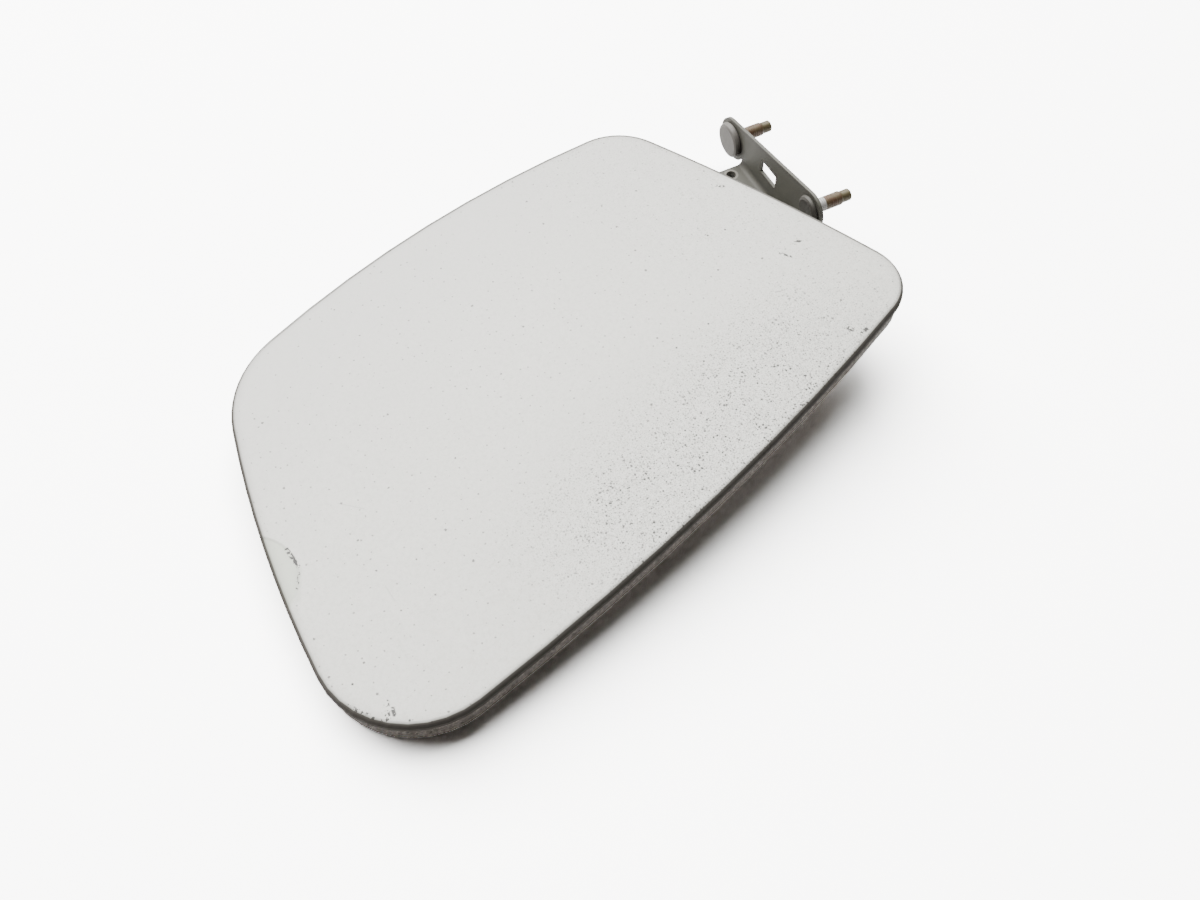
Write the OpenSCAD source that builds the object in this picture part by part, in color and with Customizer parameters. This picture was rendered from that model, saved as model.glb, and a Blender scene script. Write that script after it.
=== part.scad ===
// Car fuel door: a painted steel skin over a pressed pan, carried by a gooseneck arm that turns on a
// pin in a stamped bracket. Two headed studs fix the bracket to the car body.
// X is the studs' axis, Z points out of the car, and the origin lies between the studs on the face
// of the bracket that is pulled against the body.

/* [Door outline] */
// Length of the edge over the hinge, from corner to corner
hinge_edge = 120.5; // [100:1:140]
// Length of the long lower edge, from corner to corner
long_edge = 234; // [200:1:260]
// Length of the upper edge, from corner to corner
upper_edge = 165.5; // [145:1:190]
// Angle between the hinge edge and the long edge
long_angle = 81.6; // [76:0.1:88]
// Angle between the hinge edge and the upper edge
upper_angle = 102.5; // [98:0.1:108]
// How far the opening edge bows out
opening_bow = 6.25; // [1:0.25:10]
// How far the upper edge bows out
upper_bow = 9.25; // [1:0.25:14]
// How far the hinge edge bows out
hinge_bow = 2.5; // [1:0.25:6]
// How far the long edge bows out
long_bow = 7.5; // [1:0.25:14]
// Radius of the corner between the long and opening edges
far_low_r = 29.5; // [22:0.5:36]
// Radius of the corner between the opening and upper edges
far_high_r = 37.5; // [28:0.5:44]
// Radius of the corner between the upper and hinge edges
near_high_r = 21.5; // [16:0.5:28]
// Radius of the corner between the hinge and long edges
near_low_r = 17.5; // [14:0.5:24]

/* [Outer skin] */
// Thickness of the skin's sheet
skin_t = 0.9; // [0.6:0.1:1.4]
// Depth of the skin's drop flange
skin_drop = 3; // [2.4:0.1:5]
// Outside radius of the skin's rounded edge
skin_edge_r = 1.6; // [1.2:0.1:2.4]
// Rise of the crowned face over its edge
crown = 1.8; // [0.5:0.1:4]

/* [Inner pan] */
// Thickness of the pan's sheet
pan_t = 0.9; // [0.6:0.1:1.4]
// Depth of the pan's underside below the face's edge
pan_deep = 12.2; // [9:0.1:15]
// Gap between the skin's flange and the pan's wall
hem_gap = 0.25; // [0.1:0.05:0.4]
// Radius of the pan's lower edge
pan_edge_r = 1.8; // [1.5:0.1:2.4]
// How far the middle of the pan is pressed up from its rim
pan_recess = 3.5; // [2:0.1:5]
// Share of the outline that the raised middle takes
pan_field = 0.86; // [0.8:0.01:0.9]
// Length of a stiffening bead
bead_len = 72; // [50:1:90]
// Width of a stiffening bead
bead_w = 12; // [8:0.5:16]
// Depth of a stiffening bead
bead_deep = 2; // [1:0.1:3]
// Diameter of a mastic pad
mastic_d = 16; // [10:0.5:24]

/* [Hinge] */
// How far the hinge pin's axis lies outside the hinge edge
pivot_out = 17; // [15:0.5:20]
// Depth of the hinge pin's axis below the face's edge
pivot_deep = 25; // [22:0.5:25.5]
// Start of the bracket's first ear along the hinge edge
ear_start = 23; // [20:0.5:25]
// Distance over both ears
ear_span = 32; // [28:0.5:36]
// Radius of an ear round the pin
ear_r = 4.6; // [4.4:0.1:5]
// Diameter of the hinge pin
pin_d = 4; // [3.5:0.1:4.2]
// Running clearance round the hinge pin
pin_play = 0.05; // [0.02:0.01:0.08]
// Thickness of the arm's sheet
arm_t = 2; // [1.5:0.1:2.5]
// Half width of the arm's cheek
arm_half = 4; // [3.8:0.1:4.5]
// Thickness of a bush's wall and flange
bush_t = 1.2; // [0.8:0.1:1.5]
// Side play between a bush and its ear
side_play = 0.3; // [0.2:0.05:0.5]
// Length of the arm's foot under the pan
foot_len = 42; // [36:1:50]
// Wire diameter of the hinge spring
spring_wire = 1.5; // [1:0.1:1.6]
// Turns of the hinge spring
spring_turns = 8; // [4:1:10]

/* [Bracket and studs] */
// Thickness of the bracket's sheet
bracket_t = 1.2; // [1:0.1:1.6]
// Inside radius of the bracket's bend
bend_r = 2; // [1:0.1:3]
// Distance between the two studs
stud_pitch = 53.9; // [48:0.1:60]
// Slant of the line through the studs
stud_slant = 12; // [5:0.5:20]
// Height of the studs' middle over the bracket's flange
stud_rise = 11.85; // [11:0.05:14]
// Depth of the flange's top below the face's edge
flange_deep = 30; // [29:0.5:32]
// Radius of the plate round the upper stud
upper_lobe_r = 8.2; // [7:0.1:9]
// Radius of the plate round the lower stud
lower_lobe_r = 6.8; // [6.7:0.1:8]
// Thread diameter of a stud
stud_d = 5; // [4:0.5:6]
// Length of a stud beyond the plate
stud_len = 14.9; // [11:0.1:20]
// Length of a stud's dog point
dog_len = 3.6; // [2:0.1:4]
// Diameter of the upper stud's head
upper_head_d = 13.4; // [11:0.1:14]
// Height of the upper stud's head
upper_head_h = 2.6; // [1.9:0.1:3]
// Diameter of the lower stud's head
lower_head_d = 10.6; // [9:0.1:12]
// Height of the lower stud's head
lower_head_h = 1.9; // [1.9:0.1:2.6]
// Length of the slot in the plate
slot_len = 10; // [8:0.1:12]
// Width of the slot in the plate
slot_w = 5.4; // [4:0.1:6]
// Diameter of the hole in the flange
hole_d = 3.7; // [3:0.1:4.5]
// Depth of the plunged collar round the flange's hole
collar_h = 3.5; // [2:0.1:4]

/* [Fixings] */
// Shank diameter of a rivet
rivet_d = 4.8; // [4:0.1:5.5]
// Head diameter of a rivet
rivet_head = 8.4; // [7:0.1:10]
// Head height of a rivet
rivet_h = 1.4; // [1:0.1:2]
// Clear height under the catch's bridge
catch_gap = 4.3; // [4.1:0.1:5]
// Clear width under the catch's bridge
catch_w = 12; // [10:0.5:16]
// Depth of the catch along the door
catch_deep = 12; // [8:0.5:16]
// Thickness of the catch's sheet
catch_t = 1.5; // [1:0.1:2]
// Diameter of a rubber bumper's head
bumper_d = 9; // [7:0.5:9.5]
// Height of a rubber bumper's head
bumper_h = 1.2; // [1:0.1:3]
// Diameter of a rubber bumper's stem
bumper_stem = 4.6; // [4:0.1:5.5]

/* [Hidden] */
$fn = 48;

// Gap that keeps two seated pieces from biting into each other
seat = 0.05;
// Place and turn of the door in the studs' frame
edge_x = -48.2;
edge_y = 29;
edge_turn = 28;
face_z = flange_deep - stud_rise;

// Outline of the door, in the door's own plane: X out over the hinge edge, Y along it
corner_steps = 10;
edge_steps = 8;
near_high = [0, 0];
near_low = [0, -hinge_edge];
far_low = near_low + long_edge * [-sin(long_angle), cos(long_angle)];
far_high = upper_edge * [-sin(upper_angle), -cos(upper_angle)];
corners = [near_low, near_high, far_high, far_low];
radii = [near_low_r, near_high_r, far_high_r, far_low_r];
bows = [hinge_bow, upper_bow, opening_bow, long_bow];
middle = (far_low + far_high + near_high + near_low) / 4;

// Circle through two corners that bows out by the given height, as [centre, radius]
function bow_circle(a, b, bow) =
    let (chord = norm(b - a), r = (chord * chord / 4 + bow * bow) / (2 * bow),
         along = (b - a) / chord, out = [along[1], -along[0]])
    [(a + b) / 2 - out * (r - bow), r];
edges = [for (i = [0:3]) bow_circle(corners[i], corners[(i + 1) % 4], bows[i])];

// Centre of the fillet that is tangent to the two bowed edges at a corner
function fillet_centre(i) =
    let (one = edges[(i + 3) % 4], two = edges[i], ra = one[1] - radii[i], rb = two[1] - radii[i],
         d = norm(two[0] - one[0]), a = (ra * ra - rb * rb + d * d) / (2 * d),
         h = sqrt(ra * ra - a * a), u = (two[0] - one[0]) / d, foot = one[0] + u * a,
         p = foot + h * [-u[1], u[0]], q = foot - h * [-u[1], u[0]])
    norm(p - corners[i]) < norm(q - corners[i]) ? p : q;
fillets = [for (i = [0:3]) fillet_centre(i)];

function heading(v) = atan2(v[1], v[0]);
function turn_to(a, b) = b < a ? b + 360 : b;
function arc_points(c, r, a, b, steps, first) =
    [for (j = [first:steps - 1 + (first == 0 ? 1 : 0)])
        let (t = a + (b - a) * j / steps) c + r * [cos(t), sin(t)]];

// The outline, moved in by inset
function outline(inset) =
    [for (i = [0:3])
        let (before = edges[(i + 3) % 4], after = edges[i], c = fillets[i], next = fillets[(i + 1) % 4],
             a = heading(c - before[0]), b = turn_to(a, heading(c - after[0])),
             e = heading(next - after[0]))
        each concat(arc_points(c, radii[i] - inset, a, b, corner_steps, 0),
                    arc_points(after[0], after[1] - inset, b, turn_to(b, e), edge_steps, 1))];

// A ring of the outline, moved in by inset and drawn in to a share of its size, at a height
function ring(inset, share, z) =
    [for (p = outline(inset)) let (q = middle + (p - middle) * share) [q[0], q[1], z]];

// A closed sheet through rings that run from the middle of one side, round the rim, to the other side
module sheet(rings, z_first, z_last) {
    n = len(rings[0]);
    m = len(rings);
    caps = [[middle[0], middle[1], z_first], [middle[0], middle[1], z_last]];
    points = concat([for (r = rings) each r], caps);
    walls = [for (i = [0:m - 2]) for (j = [0:n - 1]) let (k = (j + 1) % n)
        each [[i * n + j, (i + 1) * n + j, (i + 1) * n + k], [i * n + j, (i + 1) * n + k, i * n + k]]];
    first_cap = [for (j = [0:n - 1]) [j, (j + 1) % n, m * n]];
    last_cap = [for (j = [0:n - 1]) [(m - 1) * n + (j + 1) % n, (m - 1) * n + j, m * n + 1]];
    polyhedron(points, concat(walls, first_cap, last_cap));
}

// Puts what is drawn in the door's plane where the door lies
module on_door() {
    translate([edge_x, edge_y, face_z])
        rotate([0, 0, edge_turn])
            children();
}

// A stadium of the given length over its round ends
module stadium(length, width) {
    square([length - width, width], center = true);
    for (side = [-1, 1])
        translate([side * (length - width) / 2, 0])
            circle(d = width);
}

crown_shares = [0.25, 0.5, 0.72, 0.88, 0.97];
function crown_z(share) = crown * (1 - share * share);

module outer_skin() {
    bend_steps = 4;
    inner_r = skin_edge_r - skin_t;
    top = [for (s = crown_shares) ring(skin_edge_r, s, crown_z(s))];
    bend = [for (i = [0:bend_steps]) let (a = 90 * i / bend_steps)
        ring(skin_edge_r * (1 - sin(a)), 1, skin_edge_r * (cos(a) - 1))];
    inner_bend = [for (i = [bend_steps:-1:0]) let (a = 90 * i / bend_steps)
        ring(skin_edge_r - inner_r * sin(a), 1, inner_r * cos(a) - skin_edge_r)];
    lip = [ring(0, 1, -skin_drop), ring(skin_t, 1, -skin_drop)];
    under = [for (i = [len(crown_shares) - 1:-1:0])
        ring(skin_edge_r, crown_shares[i], crown_z(crown_shares[i]) - skin_t)];
    color("gainsboro")
        on_door()
            sheet(concat(top, bend, lip, inner_bend, under),
                  crown, crown - skin_t);
}

// Heights of the pan's surfaces
rim_under = -pan_deep;
field_under = rim_under + pan_recess;
field_top = field_under + pan_t;
wall_inset = skin_t + hem_gap;
pan_top = -skin_edge_r - 0.2;

// Places of what is fixed to the pan, in the door's plane
function in_corner(i, inset) =
    fillets[i] + (radii[i] - inset) * (fillets[i] - middle) / norm(fillets[i] - middle);
hinge_from = -ear_start - ear_span;
arm_mid = hinge_from + ear_span / 2;
cheek_a = hinge_from + bracket_t + side_play + bush_t;
cheek_b = hinge_from + ear_span - bracket_t - side_play - bush_t;
foot_end = -22;
rivet_edge = rivet_head / 2 + 0.8;
foot_w = cheek_b - cheek_a + 2 * (rivet_head / 2 + 0.4 + rivet_edge);
foot_rivets = [for (x = [foot_end - rivet_edge - 3, foot_end - foot_len + rivet_edge])
               for (side = [-1, 1]) [x, arm_mid + side * (foot_w / 2 - rivet_edge)]];
opening_mid = (far_low + far_high) / 2;
catch_at = middle + (opening_mid - middle) * 0.76;
catch_turn = heading(far_high - far_low) - 90;
catch_foot = rivet_head + 1;
catch_side = catch_w / 2 + catch_t + catch_foot / 2;

module at_catch() {
    translate([catch_at[0], catch_at[1], 0])
        rotate([0, 0, catch_turn])
            children();
}

// Places of the bumpers on the pan's rim
near_bumper = in_corner(0, 10);
far_bumper = in_corner(2, 9.8);
low_bumper = in_corner(3, 14);

// A pressed stiffening bead that bulges down from the pan's field
module bead_at(x, y, turn) {
    translate([x, y, field_under - bead_deep])
        rotate([0, 0, turn])
            children();
}

bead_x = foot_end - foot_len - bead_len / 2 - 3;
upper_mid = (near_high + far_high) / 2;
long_mid = (near_low + far_low) / 2;
bead_places = [[bead_x, middle[1] + 0.5 * (upper_mid[1] - middle[1]), heading(near_high - far_high)],
               [bead_x - bead_w, middle[1] + 0.66 * (long_mid[1] - middle[1]), heading(near_low - far_low)]];

module inner_panel() {
    inner_r = pan_edge_r - pan_t;
    steps = 3;
    band = pan_field + 0.015;
    low = wall_inset + pan_edge_r;
    under = [ring(low, 0.5, field_under), ring(low, pan_field - 0.02, field_under),
             ring(low, band, rim_under), ring(low, 1, rim_under)];
    corner = [for (i = [1:steps]) let (a = 90 * i / steps)
        ring(low - pan_edge_r * sin(a), 1, rim_under + pan_edge_r * (1 - cos(a)))];
    lip = [ring(wall_inset, 1, pan_top), ring(wall_inset + pan_t, 1, pan_top)];
    inner_corner = [for (i = [steps:-1:0]) let (a = 90 * i / steps)
        ring(low - inner_r * sin(a), 1, rim_under + pan_edge_r - inner_r * cos(a))];
    over = [ring(low, band + 0.008, rim_under + pan_t), ring(low, pan_field - 0.012, field_top),
            ring(low, 0.5, field_top)];
    color("darkgray")
        on_door()
            difference() {
                union() {
                    sheet(concat(under, corner, lip, inner_corner, over), field_under, field_top);
                    for (b = bead_places)
                        bead_at(b[0], b[1], b[2])
                            linear_extrude(bead_deep + pan_t / 2)
                                stadium(bead_len, bead_w);
                }
                for (b = bead_places)
                    bead_at(b[0], b[1], b[2])
                        translate([0, 0, pan_t])
                            linear_extrude(bead_deep + pan_t)
                                stadium(bead_len - 2 * pan_t, bead_w - 2 * pan_t);
                for (p = foot_rivets)
                    translate([p[0], p[1], rim_under])
                        cylinder(d = rivet_d + 2 * seat, h = pan_deep);
                at_catch()
                    for (side = [-1, 1])
                        translate([0, side * catch_side, rim_under])
                            cylinder(d = rivet_d + 2 * seat, h = pan_deep);
                for (at = [near_bumper, far_bumper, low_bumper])
                    translate([at[0], at[1], rim_under - 1])
                        cylinder(d = bumper_stem + 2 * seat, h = pan_deep);
            }
}

// Mastic pads that keep the skin from drumming, each part of the way out to a corner or an edge
pad_places = [[near_high, 0.15], [opening_mid, 0.25], [far_low, 0.45], [near_low, 0.45]];
module mastic_pads() {
    color("dimgray")
        on_door()
            for (p = pad_places)
                let (out = p[0] - middle, at = middle + out * p[1], rim = p[1] + mastic_d / 2 / norm(out))
                    translate([at[0], at[1], field_top])
                        cylinder(d1 = mastic_d, d2 = mastic_d * 0.7,
                                 h = crown_z(rim) - skin_t - 0.3 - field_top);
}

// Side view of the arm's cheek, drawn about the pivot: X out, Y up
foot_under = pivot_deep - pan_deep + pan_recess - arm_t;
leg_x = foot_end - pivot_out;
module cheek_shape() {
    neck = [-12, -2.5];
    elbow = [leg_x + 12, -5];
    circle(r = arm_half + 0.3);
    polygon([[0, arm_half], [neck[0], neck[1] + arm_half], [elbow[0] + 2, elbow[1] + arm_half],
             [leg_x + 9, 0], [leg_x + 7, foot_under - 5], [leg_x + 5, foot_under],
             [leg_x - foot_len * 0.45, foot_under], [leg_x - 5, foot_under - 5], [leg_x - 4, 2],
             [leg_x + 2, elbow[1] - 3], [elbow[0], elbow[1] - arm_half], [neck[0], neck[1] - arm_half + 0.8],
             [0, -arm_half]]);
}

// The strip of the cheek's lower outline that the web follows
module web_shape() {
    polygon([[-14, -6.4], [leg_x + 12, -9.5], [leg_x + 2, -8], [leg_x - 4, 2], [leg_x - 5, foot_under + 0.5],
             [leg_x - 5 + arm_t, foot_under + 0.5], [leg_x - 4 + arm_t, 2.6], [leg_x + 3, -6],
             [leg_x + 12, -9.5 + arm_t], [-14, -6.4 + arm_t]]);
}

// Puts an outline drawn in the arm's side view between two places along the hinge edge
module across(from, to) {
    translate([pivot_out, to, -pivot_deep])
        rotate([90, 0, 0])
            linear_extrude(to - from)
                children();
}

module hinge_arm() {
    color("dimgray")
        on_door()
            difference() {
                union() {
                    across(cheek_a, cheek_a + arm_t)
                        cheek_shape();
                    across(cheek_b - arm_t, cheek_b)
                        cheek_shape();
                    across(cheek_a, cheek_b)
                        web_shape();
                    translate([foot_end - foot_len, arm_mid - foot_w / 2, field_under - arm_t])
                        cube([foot_len, foot_w, arm_t]);
                }
                translate([pivot_out, cheek_a - 1, -pivot_deep])
                    rotate([-90, 0, 0])
                        cylinder(d = pin_d + 2 * bush_t + 2 * seat, h = cheek_b - cheek_a + 2);
                for (p = foot_rivets)
                    translate([p[0], p[1], field_under - arm_t - 1])
                        cylinder(d = rivet_d + 2 * seat, h = arm_t + 2);
            }
}

// A rivet with a low domed head at each side of its grip, standing on its lower head
module rivet(grip) {
    rotate_extrude()
        polygon([[0, -rivet_h], [rivet_head * 0.3, -rivet_h], [rivet_head * 0.44, -rivet_h * 0.7],
                 [rivet_head / 2, 0], [rivet_d / 2, 0], [rivet_d / 2, grip], [rivet_head * 0.42, grip],
                 [rivet_head * 0.36, grip + rivet_h * 0.6], [rivet_head * 0.22, grip + rivet_h * 0.8],
                 [0, grip + rivet_h * 0.8]]);
}

module arm_rivets() {
    color("silver")
        on_door()
            for (p = foot_rivets)
                translate([p[0], p[1], field_under - arm_t - seat / 2])
                    rivet(arm_t + pan_t + seat);
}

// A flanged bush in a cheek; side is -1 where its flange faces the first ear
module bush(cheek_face, side) {
    color("ivory")
        on_door()
            translate([pivot_out, cheek_face, -pivot_deep])
                rotate([side * -90, 0, 0])
                    difference() {
                        union() {
                            cylinder(r = ear_r - 0.5, h = bush_t);
                            translate([0, 0, -arm_t])
                                cylinder(d = pin_d + 2 * bush_t, h = arm_t + bush_t);
                        }
                        translate([0, 0, -arm_t - 1])
                            cylinder(d = pin_d + 2 * pin_play, h = arm_t + bush_t + 2);
                    }
}
module front_bush() { bush(cheek_a, -1); }
module rear_bush() { bush(cheek_b, 1); }

// A hat-shaped bridge under the pan that the lock's tongue slides through
module catch_bridge() {
    side_in = catch_w / 2;
    side_out = side_in + catch_t;
    end = side_out + catch_foot;
    color("silver")
        on_door()
            at_catch()
                translate([catch_deep / 2, 0, field_under])
                    rotate([90, 0, -90])
                        difference() {
                            linear_extrude(catch_deep)
                                polygon([[-end, 0], [-side_in, 0], [-side_in, -catch_gap],
                                         [side_in, -catch_gap], [side_in, 0], [end, 0], [end, -catch_t],
                                         [side_out, -catch_t],
                                         [side_out, -catch_gap - catch_t], [-side_out, -catch_gap - catch_t],
                                         [-side_out, -catch_t], [-end, -catch_t]]);
                            for (side = [-1, 1])
                                translate([side * catch_side, 1, catch_deep / 2])
                                    rotate([90, 0, 0])
                                        cylinder(d = rivet_d + 2 * seat, h = catch_t + 2);
                        }
}

module catch_rivets() {
    color("silver")
        on_door()
            at_catch()
                for (side = [-1, 1])
                    translate([0, side * catch_side, field_under - catch_t - seat / 2])
                        rivet(catch_t + pan_t + seat);
}

// A rubber bumper pushed into the pan's rim
module bumper(at) {
    color("black")
        on_door()
            translate([at[0], at[1], rim_under])
                rotate_extrude()
                    polygon([[0, -bumper_h], [bumper_d / 2 - 0.7, -bumper_h],
                             [bumper_d / 2, -bumper_h + 0.5],
                             [bumper_d / 2, 0], [bumper_stem / 2, 0], [bumper_stem / 2, pan_t],
                             [bumper_stem / 2 + 0.9, pan_t], [bumper_stem / 2 - 1, pan_t + 2.2],
                             [0, pan_t + 2.2]]);
}
module bumper_near() { bumper(near_bumper); }
module bumper_far() { bumper(far_bumper); }
module bumper_low() { bumper(low_bumper); }

// Places of the studs in the plate, as [Y, Z]
stud_at = stud_pitch / 2 * [cos(stud_slant), -sin(stud_slant)];
bend_z = -stud_rise + bend_r;
bend_x = -bracket_t - bend_r;
flange_high = 18.9;
collar_d = stud_d + 0.8;
slot_at = [1.1, -1.7];
hole_at = [-7.5, 15.55];
flange_low = -14;

// A point of the door's plane in the studs' frame
function to_studs(x, y) =
    [edge_x + x * cos(edge_turn) - y * sin(edge_turn), edge_y + x * sin(edge_turn) + y * cos(edge_turn)];

// Outline of the plate, drawn with X along Y and Y up
module plate_shape() {
    lean = stud_slant - asin((upper_lobe_r - lower_lobe_r) / stud_pitch);
    lift = [sin(lean), cos(lean)];
    translate(stud_at)
        circle(r = upper_lobe_r);
    translate(-stud_at)
        circle(r = lower_lobe_r);
    polygon([stud_at + upper_lobe_r * lift, -stud_at + lower_lobe_r * lift, -stud_at - [lower_lobe_r, 0],
             -stud_at - [lower_lobe_r - 1, lower_lobe_r], [flange_low, bend_z], [flange_high, bend_z],
             [flange_high + 0.6, bend_z + 1.9], stud_at]);
}

module hinge_bracket() {
    ear_a = hinge_from;
    ear_b = hinge_from + ear_span - bracket_t;
    notch_a = ear_a + bracket_t;
    out = pivot_out + ear_r;
    in = pivot_out - ear_r;
    bend_len = flange_high - flange_low;
    color("dimgray")
        difference() {
            union() {
                rotate([90, 0, 90])
                    translate([0, 0, -bracket_t])
                        linear_extrude(bracket_t)
                            plate_shape();
                intersection() {
                    translate([bend_x, flange_high, bend_z])
                        rotate([90, 0, 0])
                            difference() {
                                cylinder(r = bend_r + bracket_t, h = bend_len);
                                translate([0, 0, -1])
                                    cylinder(r = bend_r, h = bend_len + 2);
                            }
                    translate([bend_x, flange_low - 1, bend_z - bend_r - bracket_t - 1])
                        cube([bend_r + bracket_t + 1, bend_len + 2, bend_r + bracket_t + 1]);
                }
                translate([0, 0, -stud_rise - bracket_t])
                    linear_extrude(bracket_t)
                        polygon([[bend_x, flange_high], to_studs(out, ear_b + bracket_t),
                                 to_studs(in, ear_b + bracket_t), to_studs(in, ear_b),
                                 to_studs(out - 4, ear_b), to_studs(out - 4, notch_a),
                                 to_studs(in, notch_a), to_studs(in, ear_a),
                                 to_studs(out, ear_a), [bend_x, flange_low]]);
                on_door()
                    for (y = [ear_a, ear_b])
                        translate([pivot_out, y, -pivot_deep])
                            rotate([-90, 0, 0]) {
                                cylinder(r = ear_r, h = bracket_t);
                                translate([-ear_r, 0, 0])
                                    cube([2 * ear_r, flange_deep - pivot_deep, bracket_t]);
                            }
                translate([hole_at[0], hole_at[1], -stud_rise - bracket_t - collar_h])
                    cylinder(d = hole_d + 2 * bracket_t, h = collar_h + bracket_t / 2);
            }
            for (side = [-1, 1])
                translate([-bracket_t - 1, side * stud_at[0], side * stud_at[1]])
                    rotate([0, 90, 0])
                        cylinder(d = collar_d + 2 * seat, h = bracket_t + 2);
            translate([-bracket_t - 1, slot_at[0] - slot_len / 2, slot_at[1] - slot_w / 2])
                cube([bracket_t + 2, slot_len, slot_w]);
            translate([hole_at[0], hole_at[1], -stud_rise - bracket_t - collar_h - 1])
                cylinder(d = hole_d, h = bracket_t + collar_h + 2);
            on_door()
                translate([pivot_out, ear_a - 1, -pivot_deep])
                    rotate([-90, 0, 0])
                        cylinder(d = pin_d + 2 * seat, h = ear_span + 2);
        }
}

// A headed press-in stud with a dog point; side is 1 for the upper one
module stud(side, head_d, head_h) {
    shank = head_h + bracket_t;
    tip = shank + stud_len;
    dog_r = stud_d * 0.43;
    color("darkkhaki")
        translate([-bracket_t - head_h, side * stud_at[0], side * stud_at[1]])
            rotate([0, 90, 0])
                rotate_extrude()
                    polygon([[0, 0], [head_d / 2 - 1.2, 0], [head_d / 2 - 0.35, 0.4], [head_d / 2, 1.1],
                             [head_d / 2, head_h - 0.5], [head_d / 2 - 0.5, head_h], [collar_d / 2, head_h],
                             [collar_d / 2, shank + 0.15], [stud_d / 2, shank + 0.3],
                             [stud_d / 2, tip - dog_len - 0.7], [dog_r, tip - dog_len], [dog_r, tip - 0.4],
                             [dog_r - 0.4, tip], [0, tip]]);
}
module upper_stud() { stud(1, upper_head_d, upper_head_h); }
module lower_stud() { stud(-1, lower_head_d, lower_head_h); }

// The pin: a flat head outside the first ear, and a groove for the clip outside the second
pin_head_h = 1.6;
clip_t = 0.8;
clip_gap = 0.15;
pin_end = 2;
module hinge_pin() {
    groove = pin_d / 2 - 0.7;
    reach = pin_head_h + ear_span + seat;
    groove_from = reach + clip_gap;
    groove_to = groove_from + clip_t + 0.1;
    color("silver")
        on_door()
            translate([pivot_out, hinge_from - pin_head_h - seat, -pivot_deep])
                rotate([-90, 0, 0])
                    rotate_extrude()
                        polygon([[0, 0], [pin_d * 0.7, 0], [pin_d * 0.82, 0.5], [pin_d * 0.82, pin_head_h],
                                 [pin_d / 2, pin_head_h], [pin_d / 2, groove_from], [groove, groove_from],
                                 [groove, groove_to], [pin_d / 2, groove_to],
                                 [pin_d / 2, reach + pin_end], [pin_d / 2 - 0.6, reach + pin_end + 0.6],
                                 [0, reach + pin_end + 0.6]]);
}

module pin_clip() {
    groove = pin_d / 2 - 0.7;
    color("dimgray")
        on_door()
            translate([pivot_out, hinge_from + ear_span + clip_gap + 0.05, -pivot_deep])
                rotate([-90, 0, 0])
                    difference() {
                        cylinder(d = pin_d * 1.9, h = clip_t);
                        translate([0, 0, -1])
                            cylinder(r = groove + seat, h = clip_t + 2);
                        translate([-groove - seat, 0, -1])
                            cube([2 * (groove + seat), pin_d, clip_t + 2]);
                    }
}

// A closed coil round the pin: one leg bears on the bracket's flange and one lies under the arm's web
module hinge_spring() {
    coil_r = pin_d / 2 + 0.4 + spring_wire / 2;
    pitch = spring_wire * 0.92;
    coil_len = pitch * (spring_turns - 1);
    droop = 17;
    bracket_leg = (flange_deep - pivot_deep - coil_r - spring_wire / 2 * cos(droop) - 0.05) / sin(droop);
    color("dimgray")
        on_door()
            translate([pivot_out, arm_mid - coil_len / 2, -pivot_deep])
                rotate([-90, 0, 0]) {
                    for (i = [0:spring_turns - 1])
                        translate([0, 0, i * pitch])
                            rotate_extrude()
                                translate([coil_r, 0])
                                    circle(d = spring_wire, $fn = 24);
                    translate([0, coil_r, 0])
                        rotate([0, 90, droop])
                            cylinder(d = spring_wire, h = bracket_leg);
                    translate([0, coil_r, coil_len])
                        rotate([0, -90, -droop])
                            cylinder(d = spring_wire, h = 16);
                }
}

outer_skin();
inner_panel();
mastic_pads();
hinge_arm();
arm_rivets();
front_bush();
rear_bush();
catch_bridge();
catch_rivets();
bumper_low();
bumper_far();
bumper_near();
hinge_bracket();
upper_stud();
lower_stud();
hinge_pin();
pin_clip();
hinge_spring();
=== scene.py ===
import bpy
import math
from mathutils import Matrix, Vector


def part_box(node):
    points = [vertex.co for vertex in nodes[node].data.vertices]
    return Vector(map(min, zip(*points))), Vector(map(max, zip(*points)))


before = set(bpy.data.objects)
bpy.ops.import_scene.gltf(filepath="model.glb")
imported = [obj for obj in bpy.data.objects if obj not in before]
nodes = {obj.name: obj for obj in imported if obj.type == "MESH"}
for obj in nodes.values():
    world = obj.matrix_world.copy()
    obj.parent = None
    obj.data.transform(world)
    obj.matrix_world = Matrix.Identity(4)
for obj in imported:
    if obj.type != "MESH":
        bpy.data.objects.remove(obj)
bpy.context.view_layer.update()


# The camera. It looks down on the painted face from beyond the long edge, a little to the left,
# from about half a metre, as the photograph does.
camera_data = bpy.data.cameras.new("camera")
camera_data.lens = 39.0
camera_data.sensor_width = 36.0
camera_data.clip_start = 0.02
camera = bpy.data.objects.new("camera", camera_data)
bpy.context.collection.objects.link(camera)
camera_right = Vector((0.894443, -0.447106, -0.008247))
camera_up = Vector((0.376971, 0.74396, 0.551739))
camera_back = Vector((-0.24055, -0.496608, 0.833976))
turn = Matrix((camera_right, camera_up, camera_back)).transposed().to_4x4()
camera.matrix_world = Matrix.Translation((-0.208491, -0.282579, 0.33959)) @ turn
bpy.context.scene.camera = camera


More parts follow.
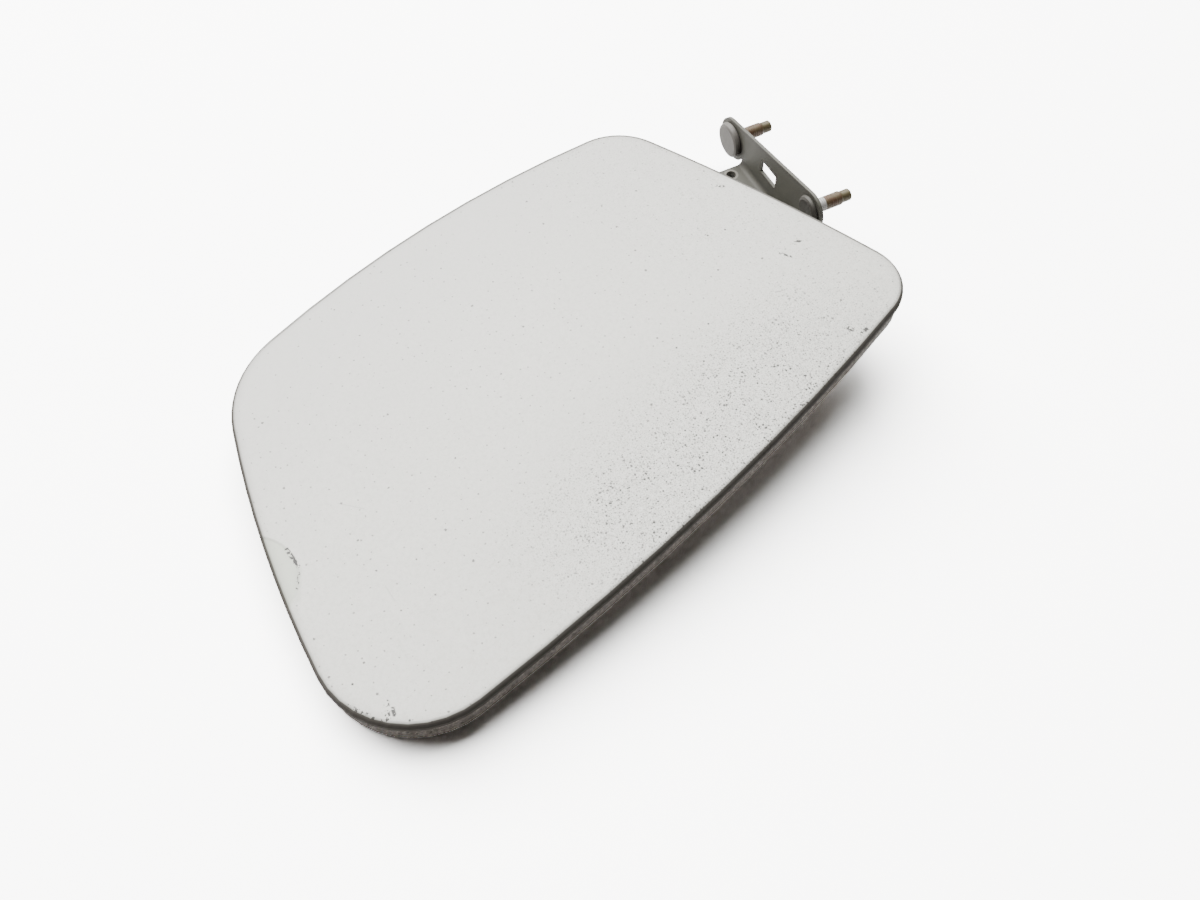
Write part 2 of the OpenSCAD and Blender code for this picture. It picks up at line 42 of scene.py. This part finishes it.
# The table top. A plain white sheet; the door lies on its lowest bumper and on the knee of
# its hinge arm, so in the door's own frame the table slopes by six degrees.
bumper_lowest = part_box("bumper_low")[0][2]
knee_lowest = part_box("hinge_arm")[0][2]
bumper_foot = Vector((-0.201, -0.1316, bumper_lowest))
knee_far = Vector((-0.045, 0.0016, knee_lowest))
knee_near = Vector((-0.0325, -0.0219, knee_lowest))
table_normal = (knee_near - bumper_foot).cross(knee_far - bumper_foot).normalized()
table_gap = 0.0003
table_half = 3.0
table_mesh = bpy.data.meshes.new("table_top")
table_mesh.from_pydata([(-table_half, -table_half, 0), (table_half, -table_half, 0),
                        (table_half, table_half, 0), (-table_half, table_half, 0)], [], [(0, 1, 2, 3)])
table_top = bpy.data.objects.new("table_top", table_mesh)
bpy.context.collection.objects.link(table_top)
table_top.matrix_world = (Matrix.Translation(bumper_foot - table_normal * table_gap)
                          @ table_normal.to_track_quat("Z", "Y").to_matrix().to_4x4())

# The sheet has one colour for the light that it throws back on the door, one for what shiny metal
# mirrors, and one for the picture itself, where it shows as a white ground with the door's shadow.
table_finish = bpy.data.materials.new("white_table")
table_finish.use_nodes = True
tree = table_finish.node_tree
sheet = tree.nodes["Principled BSDF"]
sheet.inputs["Roughness"].default_value = 0.7
sheet.inputs["Specular IOR Level"].default_value = 0.2
seen = tree.nodes.new("ShaderNodeLightPath")
reflected = tree.nodes.new("ShaderNodeMath")
reflected.operation = "MAXIMUM"
tree.links.new(seen.outputs["Is Glossy Ray"], reflected.inputs[0])
tree.links.new(seen.outputs["Is Transmission Ray"], reflected.inputs[1])
lighting_colour = (0.25, 0.23, 0.221, 1)
reflected_colour = (1.0, 1.0, 1.0, 1)
seen_colour = (2.8, 2.8, 2.8, 1)
unseen_mix = tree.nodes.new("ShaderNodeMix")
unseen_mix.data_type = "RGBA"
unseen_mix.inputs["A"].default_value = lighting_colour
unseen_mix.inputs["B"].default_value = reflected_colour
tree.links.new(reflected.outputs[0], unseen_mix.inputs["Factor"])
table_colour = tree.nodes.new("ShaderNodeMix")
table_colour.data_type = "RGBA"
table_colour.inputs["B"].default_value = seen_colour
tree.links.new(unseen_mix.outputs["Result"], table_colour.inputs["A"])
tree.links.new(seen.outputs["Is Camera Ray"], table_colour.inputs["Factor"])
tree.links.new(table_colour.outputs["Result"], sheet.inputs["Base Color"])
table_mesh.materials.append(table_finish)


# The light. One large soft lamp high over the door, beyond its upper edge, so the shadow falls under
# the long edge. Hardly any light comes from all round, so that shadow is deep. The room is pale only
# where the camera sees past the table.
lamp_place = Vector((-0.1, 1.75, 2.4))
lamp_aim = Vector((-0.1, -0.05, 0.0))
lamp = bpy.data.lights.new("high_window", "AREA")
lamp.shape = "SQUARE"
lamp.size = 4.0
lamp.energy = 562.0
lamp.color = (1.0, 0.995, 0.98)
lamp_holder = bpy.data.objects.new("high_window", lamp)
bpy.context.collection.objects.link(lamp_holder)
lamp_holder.location = lamp_place
lamp_holder.rotation_euler = (lamp_aim - lamp_place).to_track_quat("-Z", "Y").to_euler()
world = bpy.data.worlds.new("room")
bpy.context.scene.world = world
world.use_nodes = True
room = world.node_tree
room_light = room.nodes["Background"]
room_light.inputs["Strength"].default_value = 1.0
room_path = room.nodes.new("ShaderNodeLightPath")
room_colour = room.nodes.new("ShaderNodeMix")
room_colour.data_type = "RGBA"
room_colour.inputs["A"].default_value = (0.005, 0.0048, 0.0046, 1)
room_colour.inputs["B"].default_value = (1.0, 1.0, 1.0, 1)
room.links.new(room_path.outputs["Is Camera Ray"], room_colour.inputs["Factor"])
room.links.new(room_colour.outputs["Result"], room_light.inputs["Color"])


# Outer skin. Deep-drawn steel sheet in silver basecoat and clear lacquer, its edge rolled over and
# turned down. Years of road dirt: fine dark pits, scuffs by the opening edge, chips at the corner.
class Finish:
    """A painted, plated or moulded finish: its node tree, its shader and the place on the piece."""

    def __init__(self, name, colour, rough, metal):
        self.material = bpy.data.materials.new(name)
        self.material.use_nodes = True
        self.tree = self.material.node_tree
        self.shader = self.tree.nodes["Principled BSDF"]
        self.shader.inputs["Metallic"].default_value = metal
        self.shader.inputs["Roughness"].default_value = rough
        self.place = self.tree.nodes.new("ShaderNodeTexCoord").outputs["Object"]
        clean = self.tree.nodes.new("ShaderNodeRGB")
        clean.outputs[0].default_value = (*colour, 1)
        self.colour = clean.outputs[0]
        self.rough = rough
        self.height = None
        self.dulled = None

    def math(self, kind, a, b=0.0, c=0.0):
        node = self.tree.nodes.new("ShaderNodeMath")
        node.operation = kind
        for slot, value in zip(node.inputs, (a, b, c)):
            if isinstance(value, (int, float)):
                slot.default_value = value
            else:
                self.tree.links.new(value, slot)
        return node.outputs[0]

    def along(self, axis, place=None):
        node = self.tree.nodes.new("ShaderNodeSeparateXYZ")
        self.tree.links.new(place or self.place, node.inputs[0])
        return node.outputs[axis]

    def across(self, heading, place=None):
        """Distance run in a direction; a heading 1000 long gives millimetres."""
        node = self.tree.nodes.new("ShaderNodeVectorMath")
        node.operation = "DOT_PRODUCT"
        node.inputs[1].default_value = heading
        self.tree.links.new(place or self.place, node.inputs[0])
        return node.outputs["Value"]

    def distance_to(self, spot):
        node = self.tree.nodes.new("ShaderNodeVectorMath")
        node.operation = "DISTANCE"
        node.inputs[1].default_value = spot
        self.tree.links.new(self.place, node.inputs[0])
        return node.outputs["Value"]

    def ramp(self, value, low, high):
        """0 below low, 1 above high, smooth between; low may be the larger."""
        node = self.tree.nodes.new("ShaderNodeMapRange")
        node.interpolation_type = "SMOOTHSTEP"
        swap = low > high
        node.inputs["From Min"].default_value = min(low, high)
        node.inputs["From Max"].default_value = max(low, high)
        node.inputs["To Min"].default_value = 1.0 if swap else 0.0
        node.inputs["To Max"].default_value = 0.0 if swap else 1.0
        self.tree.links.new(value, node.inputs["Value"])
        return node.outputs[0]

    def stretched(self, scale):
        node = self.tree.nodes.new("ShaderNodeMapping")
        node.inputs["Scale"].default_value = scale
        self.tree.links.new(self.place, node.inputs["Vector"])
        return node.outputs[0]

    def cloud(self, size_mm, detail=3.0, rough=0.5, place=None):
        node = self.tree.nodes.new("ShaderNodeTexNoise")
        node.inputs["Scale"].default_value = 1000.0 / size_mm
        node.inputs["Detail"].default_value = detail
        node.inputs["Roughness"].default_value = rough
        self.tree.links.new(place or self.place, node.inputs["Vector"])
        return node.outputs["Fac"]

    def specks(self, cell_mm, speck_mm, share, flat=False):
        """Uneven specks of about the given size in that share of the cells."""
        node = self.tree.nodes.new("ShaderNodeTexVoronoi")
        if flat:
            node.voronoi_dimensions = "2D"
        node.inputs["Scale"].default_value = 1000.0 / cell_mm
        self.tree.links.new(self.place, node.inputs["Vector"])
        pick = self.along(0, node.outputs["Color"])
        spread = self.along(1, node.outputs["Color"])
        wide = 0.5 * speck_mm / cell_mm
        reach = self.math("MULTIPLY_ADD", spread, wide, 0.4 * wide)
        ragged_edge = self.math("MULTIPLY_ADD", self.cloud(speck_mm * 0.5), 2.4, -0.2)
        spot = self.math("DIVIDE", node.outputs["Distance"], self.math("MULTIPLY", reach, ragged_edge))
        chosen = self.ramp(pick, share + 0.01, share - 0.01)
        return self.math("MULTIPLY", self.ramp(spot, 1.25, 0.75), chosen)

    def streak(self, start, end, half_mm, soft_mm):
        """A mark on the face along a line between two places in millimetres."""
        flatten = self.tree.nodes.new("ShaderNodeVectorMath")
        flatten.operation = "MULTIPLY_ADD"
        flatten.inputs[1].default_value = (1000, 1000, 0)
        flatten.inputs[2].default_value = (-start[0], -start[1], 0)
        self.tree.links.new(self.place, flatten.inputs[0])
        run = Vector((end[0] - start[0], end[1] - start[1], 0))
        length = max(run.length, 0.001)
        way = self.tree.nodes.new("ShaderNodeVectorMath")
        way.operation = "DOT_PRODUCT"
        way.inputs[1].default_value = run / length
        self.tree.links.new(flatten.outputs[0], way.inputs[0])
        kept = self.math("MINIMUM", self.math("MAXIMUM", way.outputs["Value"], 0.0), length)
        foot = self.tree.nodes.new("ShaderNodeVectorMath")
        foot.operation = "SCALE"
        foot.inputs[0].default_value = run / length
        self.tree.links.new(kept, foot.inputs["Scale"])
        gap = self.tree.nodes.new("ShaderNodeVectorMath")
        gap.operation = "DISTANCE"
        self.tree.links.new(flatten.outputs[0], gap.inputs[0])
        self.tree.links.new(foot.outputs[0], gap.inputs[1])
        return self.ramp(gap.outputs["Value"], half_mm + soft_mm, half_mm)

    def tint(self, amount, colour, strength=1.0):
        node = self.tree.nodes.new("ShaderNodeMix")
        node.data_type = "RGBA"
        if strength != 1.0:
            amount = self.math("MULTIPLY", amount, strength)
        self.tree.links.new(amount, node.inputs["Factor"])
        self.tree.links.new(self.colour, node.inputs["A"])
        node.inputs["B"].default_value = (*colour, 1)
        self.colour = node.outputs["Result"]

    def dull(self, amount):
        """Dirt, painted shade and coats that hide the metal and the lacquer under them."""
        self.dulled = amount if self.dulled is None else self.math("MAXIMUM", self.dulled, amount)

    def raise_by(self, amount, height_mm):
        step = self.math("MULTIPLY", amount, height_mm * 0.001)
        self.height = step if self.height is None else self.math("ADD", self.height, step)

    def done(self, rough_cloud, rough_spread):
        self.tree.links.new(self.colour, self.shader.inputs["Base Color"])
        low = self.rough - rough_spread / 2
        rough = self.math("MULTIPLY_ADD", rough_cloud, rough_spread, low)
        if self.dulled is not None:
            rough = self.math("MAXIMUM", rough, self.math("MULTIPLY", self.dulled, 0.85))
            clean = self.math("SUBTRACT", 1.0, self.dulled)
            for name, share in (("Metallic", 1.0), ("Coat Weight", 1.0), ("Specular IOR Level", 0.9)):
                slot = self.shader.inputs[name]
                low = slot.default_value * (1.0 - share)
                self.tree.links.new(self.math("MULTIPLY_ADD", clean, slot.default_value - low, low), slot)
        self.tree.links.new(rough, self.shader.inputs["Roughness"])
        if self.height is not None:
            bump = self.tree.nodes.new("ShaderNodeBump")
            bump.inputs["Distance"].default_value = 1.0
            self.tree.links.new(self.height, bump.inputs["Height"])
            self.tree.links.new(bump.outputs["Normal"], self.shader.inputs["Normal"])

    def coat(self, piece):
        piece.data.materials.clear()
        piece.data.materials.append(self.material)


def shade_smooth(piece, angle_deg):
    for face in piece.data.polygons:
        face.use_smooth = True
    piece.data.set_sharp_from_angle(angle=math.radians(angle_deg))


skin = Finish("silver_paint", (0.53, 0.526, 0.488), 0.5, 0.12)
skin.shader.inputs["Coat Weight"].default_value = 0.15
skin.shader.inputs["Coat Roughness"].default_value = 0.3
haze = skin.cloud(60, 4.0)
skin.tint(skin.ramp(haze, 0.35, 0.75), (0.56, 0.555, 0.522), 0.6)
flake = skin.cloud(0.5, 2.0, 0.7)
skin.tint(skin.ramp(flake, 0.5, 0.8), (0.36, 0.355, 0.335), 0.5)
mottle = skin.cloud(1.3, 4.0, 0.8)
skin.tint(skin.ramp(mottle, 0.45, 0.7), (0.4, 0.396, 0.365), 0.5)
skin.tint(skin.ramp(mottle, 0.45, 0.3), (0.58, 0.575, 0.545), 0.5)
dusty = skin.cloud(2.2, 4.0, 0.7)
# Where the face is speckled most: along the long edge, and thinly over the whole hinge end.
to_long_edge = skin.across((376, -926, 0))
along_long_edge = skin.across((926, 376, 0))
# Away from the long edge, towards the far edge, the face is tinted a little darker.
skin.tint(skin.ramp(to_long_edge, 15, -70), (0.445, 0.44, 0.42), 0.7)
patch = skin.math("MULTIPLY", skin.ramp(to_long_edge, 22, 60), skin.ramp(along_long_edge, -205, -150))
patch = skin.math("MULTIPLY", patch, skin.ramp(along_long_edge, -10, -80))
patch = skin.math("MAXIMUM", patch, skin.math("MULTIPLY", skin.ramp(along_long_edge, -100, -50), 0.25))
skin.tint(skin.math("MULTIPLY", skin.ramp(dusty, 0.5, 0.72), patch), (0.36, 0.36, 0.34), 0.3)
grain = skin.cloud(0.42, 2.0, 0.7)
skin.tint(skin.math("MULTIPLY", skin.ramp(grain, 0.53, 0.62), patch), (0.16, 0.155, 0.15), 0.7)
skin.tint(skin.math("MULTIPLY", skin.ramp(grain, 0.44, 0.36), patch), (0.66, 0.66, 0.65), 0.6)
pits_all = skin.specks(3.4, 0.42, 0.5, True)
pits_patch = skin.math("MULTIPLY", skin.specks(1.0, 0.36, 0.5, True), patch)
pits_near_patch = skin.math("MULTIPLY", skin.specks(2.6, 0.5, 0.4, True), patch)
clusters = skin.math("MULTIPLY", skin.ramp(skin.cloud(7.0, 3.0), 0.54, 0.62), patch)
pits_clustered = skin.math("MULTIPLY", skin.specks(1.4, 0.6, 0.5, True), clusters)
pits_few = skin.specks(12, 0.6, 0.35, True)
for pits, strength in ((pits_all, 0.6), (pits_patch, 0.9), (pits_near_patch, 1.0), (pits_few, 0.8),
                       (pits_clustered, 1.0)):
    skin.tint(pits, (0.025, 0.023, 0.02), strength)
# A shallow dent pushed in at the opening edge, its face tinted darker and slightly green, chipped along
# its rim.
skin_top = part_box("outer_skin")[1][2]
dent_centre = (-0.2243, -0.0865, skin_top - 0.0015)
dent = skin.ramp(skin.distance_to(dent_centre), 0.016, 0.0148)
skin.tint(dent, (0.4, 0.425, 0.36), 0.85)
# Painted shade along the lower part of the dent's rim.
skin.tint(skin.streak((-209.1, -89.0), (-212.3, -97.5), 0.3, 1.3), (0.37, 0.385, 0.34), 0.55)
skin.raise_by(dent, -0.2)
# Chips and specks at the places where the face has been knocked.
ragged = skin.cloud(1.0, 2.0, 0.6)
chips = [((-209.9, -81.4), (-208.8, -87.9), 0.4, 0.47), ((-209.0, -89.5), (-211.4, -94.5), 0.15, 0.5),
         ((-201.5, -137.0), (-202.9, -141.6), 0.5, 0.49), ((-200.7, -139.4), (-200.9, -141.2), 0.3, 0.45),
         ((-210.9, -133.4), (-204.4, -141.6), 0.35, 0.53), ((-25.9, -84.6), (-24.6, -86.6), 0.5, 0.47),
         ((-22.6, -88.8), (-20.4, -88.2), 0.4, 0.46), ((-31.9, -12.4), (-29.9, -13.6), 0.3, 0.48),
         ((-28.5, -49.0), (-26.0, -52.0), 0.2, 0.47), ((-21.2, -46.4), (-19.4, -47.6), 0.3, 0.47)]
for start, end, half, least in chips:
    torn = skin.ramp(ragged, least, least + 0.04)
    skin.tint(skin.math("MULTIPLY", skin.streak(start, end, half, 0.45), torn), (0.015, 0.014, 0.012))
for place in ((-197.9, -144.4), (-207.7, -128.2), (-21.5, -74.9), (-46.0, -31.5), (-39.5, -31.7),
              (-50.5, -46.4), (-64.4, -64.8), (-72.8, -77.0), (-77.9, -68.7), (-71.9, -83.6)):
    skin.tint(skin.streak(place, place, 0.18, 0.3), (0.02, 0.018, 0.016))
for start, end in (((-191.7, -73.9), (-185.7, -79.1)), ((-189.2, -105.5), (-188.6, -110.6)),
                   ((-82.7, -86.0), (-78.7, -88.6)), ((-106.7, -121.0), (-107.3, -125.0)),
                   ((-45.2, -71.6), (-41.6, -74.6))):
    skin.tint(skin.streak(start, end, 0.08, 0.25), (0.3, 0.3, 0.29), 0.4)
# The rolled-over edge and the turned-down flange are tinted near-black, part road dirt and part painted
# shade and painted dark reflection; on the far sides the painted shade starts a little higher up the
# roll.
face_edge = skin_top - 0.0018
depth = skin.math("SUBTRACT", face_edge, skin.along(2))
far_sides = (0.43, 0.9, 0)
rolled_back = skin.across(far_sides, skin.tree.nodes.new("ShaderNodeTexCoord").outputs["Normal"])
# Painted shade along the roll on the far sides.
far_edge_painted_shade = skin.math("MULTIPLY", skin.ramp(rolled_back, 0.045, 0.16), 0.85)
edge_dirt_and_shade = skin.math("MAXIMUM", skin.ramp(depth, -0.0001, 0.0003), far_edge_painted_shade)
skin.tint(edge_dirt_and_shade, (0.055, 0.051, 0.045), 0.97)
# Lower down the flange the near-black tint gives way to a dark grey.
lower_flange_band = skin.ramp(depth, 0.0014, 0.0022)
skin.tint(lower_flange_band, (0.15, 0.142, 0.13), 0.75)
skin.dull(skin.math("MULTIPLY", edge_dirt_and_shade, 0.9))
grime = skin.cloud(3.0, 5.0, 0.7, skin.stretched((1, 1, 2.5)))
skin.tint(skin.math("MULTIPLY", edge_dirt_and_shade, skin.ramp(grime, 0.52, 0.75)), (0.05, 0.043, 0.036), 0.6)
skin.raise_by(skin.cloud(1.6, 2.0), 0.004)
skin.done(dusty, 0.16)
skin.coat(nodes["outer_skin"])
shade_smooth(nodes["outer_skin"], 40)


# Inner pan. Pressed steel sheet in the same silver, nested inside the skin's flange. Its wall is
# caked with pale road dust and brown dirt, painted light on its lower rim and painted shade at its top,
# and its underside has lost most of its shine.
pan = Finish("dirty_pan_paint", (0.21, 0.198, 0.182), 0.7, 0.03)
pan_dust = pan.cloud(0.9, 6.0, 0.8)
pan.tint(pan.ramp(pan_dust, 0.48, 0.6), (0.5, 0.475, 0.44), 0.8)
pan.tint(pan.ramp(pan.cloud(5.0, 6.0, 0.75), 0.5, 0.62), (0.085, 0.072, 0.06), 0.75)
pan.tint(pan.specks(1.8, 0.8, 0.4), (0.05, 0.043, 0.037), 0.85)
pan_depth = pan.math("SUBTRACT", face_edge, pan.along(2))
# A pale band on the lower wall and rim, mottled like dust: partly road dust, partly painted light thrown
# up from the table.
rim_dust_and_painted_light = pan.math("MULTIPLY", pan.ramp(pan_depth, 0.0088, 0.0108), pan.ramp(pan_dust, 0.38, 0.55))
pan.tint(rim_dust_and_painted_light, (0.6, 0.58, 0.54), 0.75)
# Painted shade: the top of the wall, in the gap under the skin's flange, is tinted near-black.
gap_painted_shade = pan.ramp(pan_depth, 0.0056, 0.0048)
pan.tint(gap_painted_shade, (0.03, 0.027, 0.024), 0.95)
pan.dull(pan.math("MULTIPLY", gap_painted_shade, 0.9))
pan.raise_by(pan_dust, 0.05)
pan.done(pan_dust, 0.25)
pan.coat(nodes["inner_panel"])
shade_smooth(nodes["inner_panel"], 35)


# Mastic pads. Dabs of black anti-drumming mastic, squeezed between the pan and the skin.
mastic = Finish("black_mastic", (0.045, 0.045, 0.045), 0.8, 0.0)
mastic_grain = mastic.cloud(1.4, 4.0, 0.6)
mastic.tint(mastic.ramp(mastic_grain, 0.45, 0.75), (0.11, 0.105, 0.1), 0.7)
mastic.raise_by(mastic_grain, 0.12)
mastic.done(mastic_grain, 0.2)
mastic.coat(nodes["mastic_pads"])
shade_smooth(nodes["mastic_pads"], 40)


# Hinge arm. A gooseneck channel pressed from two-millimetre steel and dipped in dark primer. Its
# pressed edges are broken, as the catch's, the bracket's and the studs' are.
def round_off(piece, width_mm, steps, angle_deg=35):
    soften = piece.modifiers.new("broken_edges", "BEVEL")
    soften.width = width_mm * 0.001
    soften.segments = steps
    soften.limit_method = "ANGLE"
    soften.angle_limit = math.radians(angle_deg)
    soften.harden_normals = True


arm = Finish("dark_primer", (0.07, 0.068, 0.064), 0.5, 0.2)
arm_dust = arm.cloud(5.0, 5.0, 0.65)
arm.tint(arm.ramp(arm_dust, 0.48, 0.75), (0.2, 0.185, 0.165), 0.5)
arm.tint(arm.specks(3.5, 0.8, 0.35), (0.16, 0.09, 0.05), 0.5)
arm.raise_by(arm.cloud(1.2, 3.0), 0.02)
arm.done(arm_dust, 0.25)
arm.coat(nodes["hinge_arm"])
shade_smooth(nodes["hinge_arm"], 30)
round_off(nodes["hinge_arm"], 0.35, 2)


# Rivets and catch. Zinc-plated steel: four rivets through the arm's foot, and the bridge that the
# lock's tongue slides into, with its own two rivets. The pin is of the same steel.
zinc = Finish("dull_zinc", (0.5, 0.49, 0.46), 0.42, 0.85)
zinc_cloud = zinc.cloud(3.0, 4.0, 0.6)
zinc.tint(zinc.ramp(zinc_cloud, 0.5, 0.75), (0.33, 0.31, 0.27), 0.6)
zinc.tint(zinc.specks(2.2, 0.6, 0.25), (0.22, 0.12, 0.06), 0.6)
zinc.raise_by(zinc.cloud(0.7, 3.0), 0.012)
zinc.done(zinc_cloud, 0.25)
for name in ("arm_rivets", "catch_bridge", "catch_rivets", "hinge_pin"):
    zinc.coat(nodes[name])
    shade_smooth(nodes[name], 35)
round_off(nodes["catch_bridge"], 0.3, 2)


# Bushes. Flanged nylon rings pressed into the arm's two cheeks, yellowed by grease.
nylon = Finish("aged_nylon", (0.62, 0.58, 0.48), 0.5, 0.0)
nylon_cloud = nylon.cloud(2.5, 4.0)
nylon.tint(nylon.ramp(nylon_cloud, 0.45, 0.75), (0.36, 0.31, 0.22), 0.5)
nylon.raise_by(nylon_cloud, 0.02)
nylon.done(nylon_cloud, 0.2)
for name in ("front_bush", "rear_bush"):
    nylon.coat(nodes[name])
    shade_smooth(nodes[name], 35)


# Bumpers. Small black rubber buttons pushed into the pan's rim, greyed by dust.
rubber = Finish("bumper_rubber", (0.03, 0.03, 0.03), 0.75, 0.0)
rubber_dust = rubber.cloud(1.8, 4.0, 0.6)
rubber.tint(rubber.ramp(rubber_dust, 0.5, 0.8), (0.13, 0.12, 0.11), 0.6)
rubber.raise_by(rubber_dust, 0.03)
rubber.done(rubber_dust, 0.2)
for name in ("bumper_near", "bumper_far", "bumper_low"):
    rubber.coat(nodes[name])
    shade_smooth(nodes[name], 40)


# Hinge bracket. Stamped from steel sheet of just over a millimetre with a bent flange and two ears, in a
# satin olive-grey electro-coat, tinted paler in a ring round the hole in its flange.
plate = Finish("olive_grey_coat", (0.073, 0.071, 0.058), 0.62, 0.05)
plate_cloud = plate.cloud(9.0, 4.0, 0.6)
plate.tint(plate.ramp(plate_cloud, 0.4, 0.75), (0.085, 0.082, 0.072), 0.6)
plate.tint(plate.specks(2.4, 0.5, 0.2), (0.07, 0.065, 0.055), 0.5)
from_hole = plate.distance_to((-0.0075, 0.01555, -0.01185))
hole_ring = plate.math("MULTIPLY", plate.ramp(from_hole, 0.0029, 0.0025),
                       plate.ramp(from_hole, 0.0017, 0.0019))
plate.tint(hole_ring, (0.2, 0.19, 0.165), 0.7)
plate.raise_by(plate.cloud(1.5, 3.0), 0.012)
plate.done(plate_cloud, 0.18)
plate.coat(nodes["hinge_bracket"])
shade_smooth(nodes["hinge_bracket"], 30)
round_off(nodes["hinge_bracket"], 0.25, 2)


# Studs. Cold-headed steel studs pressed through the plate. Their heads carry the bracket's grey
# coat; the threads were plated yellow and have browned, and the lower one still shows white zinc.
def stud_finish(name, head_colour, white_reach):
    """Runs out along X in metres: head, plate, thread, and from 11 mm the plain point."""
    coat = Finish(name, (0.085, 0.06, 0.03), 0.5, 0.2)
    out = coat.along(0)
    browning = coat.cloud(3.2, 4.0, 0.6)
    coat.tint(coat.ramp(browning, 0.4, 0.62), (0.075, 0.036, 0.018), 0.8)
    coat.tint(coat.ramp(coat.cloud(2.0, 4.0, 0.6), 0.5, 0.75), (0.06, 0.052, 0.025), 0.7)
    tip = coat.ramp(out, 0.0107, 0.0112)
    coat.tint(tip, (0.075, 0.066, 0.03), 0.7)
    coat.tint(coat.ramp(out, 0.0146, 0.01488), (0.04, 0.037, 0.026), 0.6)
    if white_reach:
        coat.tint(coat.ramp(out, white_reach + 0.0006, white_reach), (0.4, 0.4, 0.39), 0.9)
    head = coat.ramp(out, -0.0009, -0.0012)
    coat.tint(head, head_colour)
    coat.dull(coat.math("MULTIPLY", head, 0.5))
    thread = coat.tree.nodes.new("ShaderNodeTexWave")
    thread.bands_direction = "X"
    pitch_mm = 0.8
    radians_per_unit = 20.0
    thread.inputs["Scale"].default_value = 1000.0 / pitch_mm * 2.0 * math.pi / radians_per_unit
    coat.tree.links.new(coat.place, thread.inputs["Vector"])
    shank = coat.math("MULTIPLY", coat.ramp(out, 0.0004, 0.0008), coat.ramp(out, 0.0109, 0.0105))
    coat.raise_by(coat.math("MULTIPLY", thread.outputs["Fac"], shank), 0.1)
    coat.raise_by(browning, 0.03)
    coat.done(browning, 0.2)
    return coat


upper_finish = stud_finish("browned_stud_plating", (0.13, 0.124, 0.114), 0.0)
upper_finish.coat(nodes["upper_stud"])
lower_finish = stud_finish("half_white_stud_plating", (0.06, 0.057, 0.05), 0.004)
lower_finish.coat(nodes["lower_stud"])
for name in ("upper_stud", "lower_stud"):
    shade_smooth(nodes[name], 32)
    round_off(nodes[name], 0.25, 3, 25)


# Spring and clip. Oil-blackened spring steel: the coil rides on the pin between the arm's cheeks,
# and the clip snaps into the pin's groove.
spring = Finish("blackened_spring_steel", (0.09, 0.088, 0.085), 0.4, 0.7)
spring_cloud = spring.cloud(2.0, 4.0, 0.6)
spring.tint(spring.ramp(spring_cloud, 0.5, 0.75), (0.2, 0.13, 0.08), 0.5)
spring.raise_by(spring_cloud, 0.015)
spring.done(spring_cloud, 0.25)
for name in ("hinge_spring", "pin_clip"):
    spring.coat(nodes[name])
    shade_smooth(nodes[name], 40)
